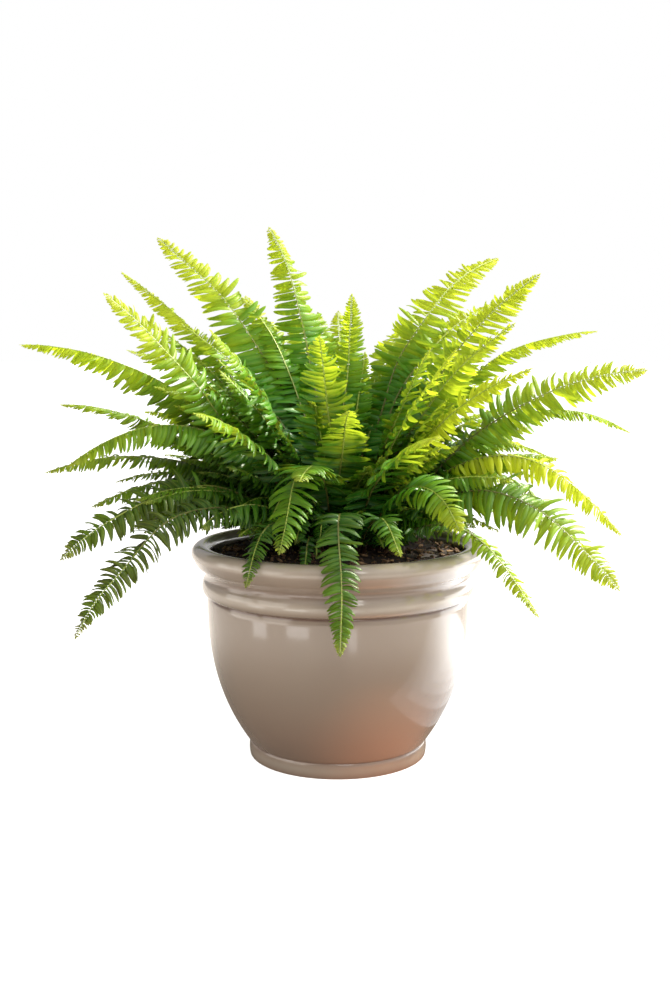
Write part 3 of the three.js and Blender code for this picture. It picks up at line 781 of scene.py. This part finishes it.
def young_rib(rib, turn, size, lift):
    """A rib beside another: turned about the pot's axis, made smaller and tipped up at its foot."""
    foot, out = rib["middle"][1], rib["middle"][-1] - rib["middle"][1]
    across = unit(np.cross(out, (0, 0, 1)))
    tip = np.array(Matrix.Rotation(lift, 3, Vector(across)))
    spin_round = np.array(Matrix.Rotation(turn, 3, "Z"))
    young = {key: rib[key] @ tip.T @ spin_round.T for key in ("up", "right")}
    young["middle"] = ((rib["middle"] - foot) @ tip.T * size + foot) @ spin_round.T
    young["length"] = rib["length"] * size
    return young


def comes_forward(rib):
    x, y, _ = rib["middle"][-1] / MM
    return y < -FRONT_REACH and abs(x) < FRONT_HALF


def clears_the_lip(rib):
    points = rib["middle"] / MM
    outer = points[np.hypot(points[:, 0], points[:, 1]) > MOUTH_RADIUS - LIP_MARGIN]
    return np.all(outer[:, 2] > POT_HEIGHT + LIP_MARGIN)


def grow_young(name, seed, short):
    random = np.random.default_rng(seed)
    turn = random.choice((-1, 1)) * random.uniform(*TURNS)
    size = random.uniform(*(SHORT_SIZES if short else YOUNG_SIZES))
    tries = (young_rib(ribs[name], turn, size, lift) for lift in LIFTS)
    rib = next((rib for rib in tries if clears_the_lip(rib)), None)
    if rib is None or comes_forward(rib):
        return None
    habit = dict(habits[name])
    habit["longest"] *= size**0.9
    habit["places"] = habit["places"] * size
    habit["ruffle"] += 0.6
    return grow_frond(small_leaflet, rib, habit, 1, 0.25 + 0.5 * youth(rib), seed)


young = {part: [] for part in range(YOUNG_PIECES)}
for index in range(YOUNG_COUNT):
    beside, seed = frond_names[index % len(frond_names)], FIRST_YOUNG_SEED + index
    grown = grow_young(beside, seed, index >= SHORT_FROM)
    if grown:
        x, y, _ = grown["points"].mean(0)
        young[int((math.atan2(y, x) / math.tau + 1) * YOUNG_PIECES) % YOUNG_PIECES].append(grown)
young_fronds = [make_fronds(f"young_fronds_{part + 1}", grown) for part, grown in young.items()]
fronds += young_fronds
print(sum(len(g) for g in young.values()), "young fronds,",
      max(len(p.data.loop_triangles) for p in young_fronds), "triangles in the largest piece,",
      sum(len(p.data.loop_triangles) for p in fronds), "in all the fronds")

# %% [markdown]
# Materials are written as sums. A small class stands for a node's output and turns + - * / into
# Math nodes, and one method makes every other node: first its settings, then the values or links of
# its sockets.


# %% The paint box
class Wire:
    """A node's output. Sums with it add Math nodes."""

    def __init__(self, paint, socket):
        self.paint, self.socket = paint, socket

    def math(self, operation, *others):
        values = {i: value for i, value in enumerate((self, *others))}
        return self.paint.node("ShaderNodeMath", {"operation": operation}, values)

    def __add__(self, other):
        return self.math("ADD", other)

    __radd__ = __add__

    def __mul__(self, other):
        return self.math("MULTIPLY", other)

    __rmul__ = __mul__

    def __sub__(self, other):
        return self.math("SUBTRACT", other)

    def __rsub__(self, other):
        return self.paint.node("ShaderNodeMath", {"operation": "SUBTRACT"}, {0: other, 1: self})

    def __truediv__(self, other):
        return self.math("DIVIDE", other)

    def __pow__(self, other):
        return self.math("POWER", other)

    def __abs__(self):
        return self.math("ABSOLUTE")

    def smooth(self, start, end):
        """0 up to start and 1 from end on, with a smooth step between."""
        sockets = {"Value": self, "From Min": start, "From Max": end}
        return self.paint.node("ShaderNodeMapRange", {"interpolation_type": "SMOOTHSTEP"}, sockets)

    def bump_at(self, place, width):
        """1 at a place, falling smoothly to 0 at that width on either side."""
        return 1 - abs(self - place).smooth(0, width)


class Paint:
    """The nodes of a material or a world being made."""

    def __init__(self, owner):
        owner.use_nodes = True
        self.owner, self.tree = owner, owner.node_tree
        self.tree.nodes.clear()

    def node(self, kind, settings, sockets, output=0):
        made = self.tree.nodes.new(kind)
        for key, value in settings.items():
            setattr(made, key, value)
        for key, value in sockets.items():
            if isinstance(value, Wire):
                self.tree.links.new(value.socket, made.inputs[key])
            else:
                made.inputs[key].default_value = value
        return Wire(self, made.outputs[output]) if made.outputs else None

    def place(self, stretch=(1, 1, 1)):
        """Where a point is on the object, in metres."""
        here = self.node("ShaderNodeTexCoord", {}, {}, "Object")
        return self.node("ShaderNodeMapping", {}, {"Vector": here, "Scale": stretch})

    def parts(self, vector):
        """The three numbers of a vector."""
        return [self.node("ShaderNodeSeparateXYZ", {}, {"Vector": vector}, i) for i in range(3)]

    def noise(self, where, scale, detail=3, roughness=0.5):
        sockets = {"Vector": where, "Scale": scale, "Detail": detail, "Roughness": roughness}
        return self.node("ShaderNodeTexNoise", {}, sockets)

    def blend(self, share, one, other):
        """Between two colours."""
        sockets = {0: share, 6: one, 7: other}
        return self.node("ShaderNodeMix", {"data_type": "RGBA"}, sockets, 2)

    def bump(self, height, strength, distance):
        sockets = {"Height": height, "Strength": strength, "Distance": distance}
        return self.node("ShaderNodeBump", {}, sockets)

    def shader(self, sockets):
        return self.node("ShaderNodeBsdfPrincipled", {}, sockets)

    def output(self, shader, kind="ShaderNodeOutputMaterial"):
        self.node(kind, {}, {"Surface": shader})
        return self.owner


def new_paint(name):
    return Paint(bpy.data.materials.new(name))


def colour(red, green, blue):
    return (red, green, blue, 1)


print("paint box ready")

# %% [markdown]
# The glaze is a warm beige, glossy as glass. It runs thin and pale over the lip, the bead and the
# foot, and clouds a little over the body. In the groove under the bead, under the lip and above the
# foot it is darker and redder: partly glaze that pools there, partly painted shade.
# Faint rings from the potter's fingers make the reflections waver.

# %% The glaze
BEIGE, PALE = colour(0.29, 0.235, 0.185), colour(0.45, 0.39, 0.32)
ROSE, POOLED_AND_SHADED = colour(0.33, 0.215, 0.16), colour(0.12, 0.055, 0.035)
THIN_GLAZE = [(157.7, 9), (190, 12), (7, 8)]  # on bead, lip and foot: height, and how far from it
# Darker and redder bands: glaze pooled in the groove, under the lip and above the foot, and painted
# shade there.
POOLED_GLAZE_AND_SHADE = [(148.6, 2.6, 0.8), (168.5, 5, 0.4), (14, 3, 0.2)]  # the same, and how strongly
CLAY_BELOW = 150  # inside the pot the glaze ends at this height


def glaze():
    paint = new_paint("glaze")
    height = paint.parts(paint.place())[2] / MM
    clouds = paint.noise(paint.place((1, 1, 0.6)), 14)
    fine = paint.noise(paint.place((1, 1, 0.35)), 60, 4, 0.6)
    thin = sum(height.bump_at(middle, reach) for middle, reach in THIN_GLAZE) * 0.75
    pool_and_shade = sum(height.bump_at(middle, reach) * share for middle, reach, share in POOLED_GLAZE_AND_SHADE)
    low = (1 - height.smooth(20, 90)) * 0.45 + clouds * 0.35 - 0.1
    tint = paint.blend(low, BEIGE, ROSE)
    tint = paint.blend(thin * (0.65 + fine * 0.5), tint, PALE)
    # Painted shade, together with pooled glaze, in the groove, under the lip and above the foot.
    tint = paint.blend(pool_and_shade, tint, POOLED_AND_SHADED)
    rings = (height / 2.9 + clouds * 2).math("SINE") * 0.3 + fine
    return paint.output(paint.shader({
        "Base Color": tint,
        "Roughness": 0.13 + fine * 0.1,
        "Coat Weight": 1.0,
        "Coat Roughness": 0.1,
        "Specular IOR Level": 0.55,
        "Normal": paint.bump(rings, 0.12, 0.4 * MM),
    }))


def bare_clay():
    paint = new_paint("bare_clay")
    grit = paint.noise(paint.place(), 900, 4, 0.7)
    cloud = paint.noise(paint.place(), 30)
    tint = paint.blend(grit * 0.6 + cloud * 0.4, colour(0.42, 0.24, 0.15), colour(0.58, 0.40, 0.28))
    return paint.output(paint.shader({
        "Base Color": tint, "Roughness": 0.9, "Normal": paint.bump(grit, 0.4, 0.3 * MM),
    }))


pot.data.materials.append(glaze())
pot.data.materials.append(bare_clay())
for face in pot.data.polygons:
    faces_inward = face.normal.to_2d().dot(face.center.to_2d()) < 0
    if face.center.z < 0.5 * MM or (face.center.z < CLAY_BELOW * MM and faces_inward):
        face.material_index = 1
print("glazed faces:", sum(face.material_index == 0 for face in pot.data.polygons))

# %% [markdown]
# Moist potting mix is nearly black, with grains of every brown. The chips of bark that lie on it
# are drier and catch the light.


# %% The soil and the bark
def earth(piece, name, dark, light, scale, contrast):
    paint = new_paint(name)
    place = paint.place()
    grain = paint.noise(place, scale, 5, 0.7)
    patch = paint.noise(place, 38)
    share = (grain * 1.5 + patch - 0.85) * contrast
    piece.data.materials.append(paint.output(paint.shader({
        "Base Color": paint.blend(share, colour(*dark), colour(*light)),
        "Roughness": 0.75 + grain * 0.2,
        "Normal": paint.bump(grain, 0.6, 0.8 * MM),
    })))


earth(soil, "moist_soil", (0.006, 0.004, 0.003), (0.045, 0.024, 0.014), 420, 1)
earth(crumb_bed, "peat_crumbs", (0.014, 0.008, 0.005), (0.24, 0.13, 0.07), 260, 1)
earth(chip_bed, "bark", (0.08, 0.038, 0.018), (0.46, 0.28, 0.15), 150, 1.2)
print("soil, crumbs and bark painted")

# %% [markdown]
# A leaflet is satin on top and lets light through, so its material mixes a glossy shader with a
# translucent one. Its colour follows two maps: one across the leaflet, for the veins, and one along
# the frond, because the youngest leaflets at the tip are yellower than those near the crown. Place
# counts as well: low fronds are a darker olive, partly for their age and partly as painted shade;
# the heart is painted dark as shade and lets less light through; the sunny side and the front are
# painted lighter and yellower as sunlight. The foot of each leaflet is painted darker as shade.

# %% The leaf and the rib
DEEP_GREEN_AND_SHADE, OLIVE = colour(0.010, 0.080, 0.004), colour(0.072, 0.086, 0.004)
FRESH, OUTER_FRESH = colour(0.090, 0.370, 0.012), colour(0.180, 0.380, 0.012)
LIME = colour(0.580, 0.620, 0.060)
STRAW, YELLOW = colour(0.62, 0.55, 0.16), colour(0.78, 0.80, 0.04)
GLOW = colour(0.86, 0.93, 0.20)
STALK, OLIVE_STALK = colour(0.035, 0.014, 0.006), colour(0.14, 0.15, 0.03)
GREEN_STALK = colour(0.42, 0.52, 0.09)


def leaf():
    paint = new_paint("leaf")
    across, along, _ = paint.parts(paint.node("ShaderNodeUVMap", {"uv_map": "leaflet"}, {}))
    growth, tone, _ = paint.parts(paint.node("ShaderNodeUVMap", {"uv_map": "frond"}, {}))
    place = paint.place()
    x, y, z = paint.parts(place)
    aside = abs(across - 0.5) * LEAFLET_SPAN
    vein = 1 - aside.smooth(0.02, 0.11)
    branches = ((along * 11 - aside * 1.6) * math.tau).math("SINE") * 0.5 + 0.5
    mottle = paint.noise(place, 45)
    speckle = paint.noise(place, 700, 3, 0.6)
    height = z.smooth(0.16, 0.46)
    out = (x * x + y * y).math("SQRT").smooth(0.03, 0.24)
    # Painted shade in the heart of the clump: low down and near the pot's axis.
    inside = (1 - out) * (1 - height)
    # Painted sunlight: the right-hand, sunny side and the front are lighter and yellower.
    front = (-1 * y).smooth(0.0, 0.12) * (1 - height)
    lit = front * (x.smooth(-0.12, -0.05) * 0.12 + x.smooth(0, 0.1) * 0.24)
    lit = x.smooth(-0.06, 0.16) * 0.14 + lit
    # How young a leaflet looks: its age, and painted light and shade by its place, darker low down
    # and near the axis, lighter high up and on the sunny side.
    young = growth * 0.45 + tone * 0.35 + height * 0.45 + out * 0.15 + lit + mottle * 0.4 - 0.69
    old_and_shaded_tint = paint.blend(out, DEEP_GREEN_AND_SHADE, OLIVE)
    tint = paint.blend(young.smooth(-0.05, 0.55), old_and_shaded_tint, paint.blend(out, FRESH, OUTER_FRESH))
    tint = paint.blend(young.smooth(0.35, 0.85), tint, LIME)
    tint = paint.blend(tone.smooth(0.9, 0.99) * growth.smooth(0.2, 0.6), tint, YELLOW)
    tint = paint.blend((growth + along * 0.03).smooth(0.93, 1.01) * 0.5, tint, STRAW)
    tint = paint.blend(vein * 0.35, tint, LIME)
    # Painted shade at the foot of each leaflet, by the rib.
    foot = (1 - along.smooth(0, 0.4)) * 0.3
    # Veins and specks darken it, and so do the painted shade at the leaflet's foot and in the
    # heart.
    tint = paint.blend(branches * 0.10 + speckle * 0.1 + foot + inside * 0.4, tint, DEEP_GREEN_AND_SHADE)
    relief = vein * -0.9 + branches * 0.4 + speckle * 0.3
    top = paint.shader({
        "Base Color": tint,
        "Roughness": 0.28 + speckle * 0.2,
        "Specular IOR Level": 0.38,
        "Normal": paint.bump(relief, 0.5, 0.3 * MM),
    })
    through = paint.node("ShaderNodeBsdfTranslucent", {}, {"Color": GLOW})
    # Less light goes through in the heart: part of the painted shade there.
    share = 0.14 + young.smooth(0.0, 0.7) * 0.56 - inside * 0.14
    return paint.output(paint.node("ShaderNodeMixShader", {}, {0: share, 1: top, 2: through}))


def rib_paint():
    paint = new_paint("rib")
    growth, tone, _ = paint.parts(paint.node("ShaderNodeUVMap", {"uv_map": "frond"}, {}))
    streak = paint.noise(paint.place(), 260, 3, 0.6)
    ripe = growth + streak * 0.12 + tone * 0.15
    tint = paint.blend(ripe.smooth(0.3, 0.62), STALK, OLIVE_STALK)
    tint = paint.blend(ripe.smooth(0.62, 0.98), tint, GREEN_STALK)
    return paint.output(paint.shader({
        "Base Color": tint, "Roughness": 0.42, "Normal": paint.bump(streak, 0.3, 0.3 * MM),
    }))


leaf_material, rib_material = leaf(), rib_paint()
for piece in fronds:
    piece.data.materials.append(leaf_material)
    piece.data.materials.append(rib_material)
print("leaf and rib painted on", len(fronds), "fronds")

# %% [markdown]
# The stage is a plain pale floor. The sun stands behind on the right, shines through the leaflets
# and leaves the near left side in shade. The pot gets less of it, so that its bright side keeps an
# edge. The floor gets none: it has an even wash of its own and so stays as plain as paper. A tall
# window on the right shines on all but the pot. The glaze mirrors lights of its own: a silvery glow
# low on the right, a warm one on the left, and three small panes in front.

# %% The floor
deselect()
bpy.ops.mesh.primitive_plane_add(size=60)
floor = bpy.context.object
floor.name = "floor"

# What the glaze sees of the floor: painted shadow near the pot, open floor farther off, and a
# painted warm patch of light.
SHADED, OPEN, PAINTED_WARM_LIGHT = colour(0.14, 0.115, 0.095), colour(0.62, 0.57, 0.52), colour(0.80, 0.38, 0.22)
PAPER = colour(0.86, 0.86, 0.86)


def paper_floor():
    """Plain as paper to look at, but the glaze mirrors it with a painted shadow near the pot and a
    painted warm patch of light.
    """
    paint = new_paint("floor")
    east, north, _ = paint.parts(paint.place())
    away = (east * east + north * north).math("SQRT").smooth(0.14, 0.55)
    spot = ((east - 0.08) ** 2 + (north + 0.12) ** 2).math("SQRT")
    tint = paint.blend(away, SHADED, OPEN)
    tint = paint.blend((1 - spot.smooth(0.01, 0.14)) * 0.6, tint, PAINTED_WARM_LIGHT)
    seen = paint.node("ShaderNodeLightPath", {}, {}, "Is Camera Ray")
    return paint.output(paint.shader({
        "Base Color": paint.blend(seen, tint, PAPER), "Roughness": 0.9, "Specular IOR Level": 0.0,
    }))


floor.data.materials.append(paper_floor())
print("floor laid")


# %% The lights
def light_only(light, *pieces, link_state="INCLUDE"):
    """Makes a light shine on these pieces only, or with EXCLUDE on everything but these."""
    lit = bpy.data.collections.new(light.name + "_receivers")
    for piece in pieces:
        lit.objects.link(piece)
    for row in lit.collection_objects:
        row.light_linking.link_state = link_state
    light.light_linking.receiver_collection = lit


def lamp(name, kind, power, tint, place, target, size):
    """A sun, whose size is the angle that it fills in degrees, or a window of so many metres."""
    data = bpy.data.lights.new(name, kind)
    data.energy, data.color = power, tint
    if kind == "AREA":
        data.shape, data.size, data.size_y = "RECTANGLE", *size
    else:
        data.angle = math.radians(size)
    light = bpy.data.objects.new(name, data)
    bpy.context.scene.collection.objects.link(light)
    light.location = place
    light.rotation_euler = (Vector(target) - Vector(place)).to_track_quat("-Z", "Y").to_euler()
    light.visible_camera = False
    print(name, "at", place)
    return light


SUN_TINT, SUN_PLACE, SUN_TARGET, SUN_SIZE = (1, 0.96, 0.82), (1.0, 0.7, 1.3), (0, 0, 0.2), 3
sun = lamp("sun", "SUN", 8.8, SUN_TINT, SUN_PLACE, SUN_TARGET, SUN_SIZE)
light_only(sun, floor, pot, link_state="EXCLUDE")
pot_sun = lamp("pot_sun", "SUN", 3.2, SUN_TINT, SUN_PLACE, SUN_TARGET, SUN_SIZE)
light_only(pot_sun, pot)
wash = lamp("floor_wash", "SUN", 3.2, (1, 1, 1), (0, 0, 2), (0, 0, 0), 20)
wash.data.use_shadow = False
light_only(wash, floor)
COOL = (0.97, 0.99, 1)
window = lamp("tall_window", "AREA", 18, COOL, (1.3, -0.3, 0.7), (0, 0, 0.25), (0.7, 1.0))
light_only(window, pot, link_state="EXCLUDE")
lamp("front_fill", "AREA", 7.2, (1, 0.97, 0.92), (0.2, -1.5, 1.3), (0, 0, 0.3), (0.8, 0.8))

# Panels that only the pot sees. Its walls show what lies low beside them, so the silver side comes
# from sheets that lie on the floor and face up, each a little farther from the pot than the last.
POT_PANELS = {  # power, colour, place, target and size
    "silver_panel": (3, COOL, (0.82, 0.57, 0.16), (0, 0, 0.12), (1.2, 0.3)),
    "left_panel": (3.6, (1, 0.95, 0.88), (-0.95, -0.35, 0.30), (0, 0, 0.12), (1.2, 0.6)),
    "left_pane": (0.014, (1, 1, 1), (-0.249, -0.161, 0.093), (0, 0, 0.14), (0.06, 0.04)),
    "middle_pane": (0.018, (1, 1, 1), (-0.144, -0.273, 0.093), (0, 0, 0.14), (0.085, 0.035)),
    "right_pane": (0.008, (1, 1, 1), (0.053, -0.305, 0.075), (0, 0, 0.13), (0.03, 0.05)),
}
SHEETS, SHEET_TINT = 7, (0.93, 0.97, 1)
SHEET_GLOW = 1.35  # watts for a square metre
SHEET_LEFT, SHEET_FRONT, SHEET_RIGHT, SHEET_BACK = 0.11, -0.15, 1.1, 0.3  # edges of the first sheet
SHEET_STEP, SHEET_RISE = 0.032, 0.003  # from sheet to sheet, sideways and up
for step in range(SHEETS):
    left, front = SHEET_LEFT + SHEET_STEP * step, SHEET_FRONT + SHEET_STEP * step
    width, depth = SHEET_RIGHT - left, SHEET_BACK - front
    x, y = (left + SHEET_RIGHT) / 2, (front + SHEET_BACK) / 2
    POT_PANELS[f"silver_sheet_{step + 1}"] = (
        SHEET_GLOW * width * depth, SHEET_TINT,
        (x, y, SHEET_RISE * (step + 1)), (x, y, 1), (width, depth),
    )
for name, (power, tint, place, target, size) in POT_PANELS.items():
    light_only(lamp(name, "AREA", power, tint, place, target, size), pot)

# %% The world
world = bpy.data.worlds.new("studio")
bpy.context.scene.world = world
sky = Paint(world)
direction = sky.node("ShaderNodeTexCoord", {}, {}, "Generated")
east, north, upward = sky.parts(direction)
sides = 0.10 + east.smooth(-0.3, 1.0) * 0.8 + north.smooth(-0.3, 0.9) * 0.3
bright = sides + upward.smooth(0.1, 1) * 0.45
seen = sky.node("ShaderNodeLightPath", {}, {}, "Is Camera Ray")
tint = sky.blend(seen, colour(1, 0.985, 0.96), colour(1, 1, 1))
strength = bright * (1 - seen) + seen
backdrop = sky.node("ShaderNodeBackground", {}, {"Color": tint, "Strength": strength})
sky.output(backdrop, "ShaderNodeOutputWorld")
print("world lit")
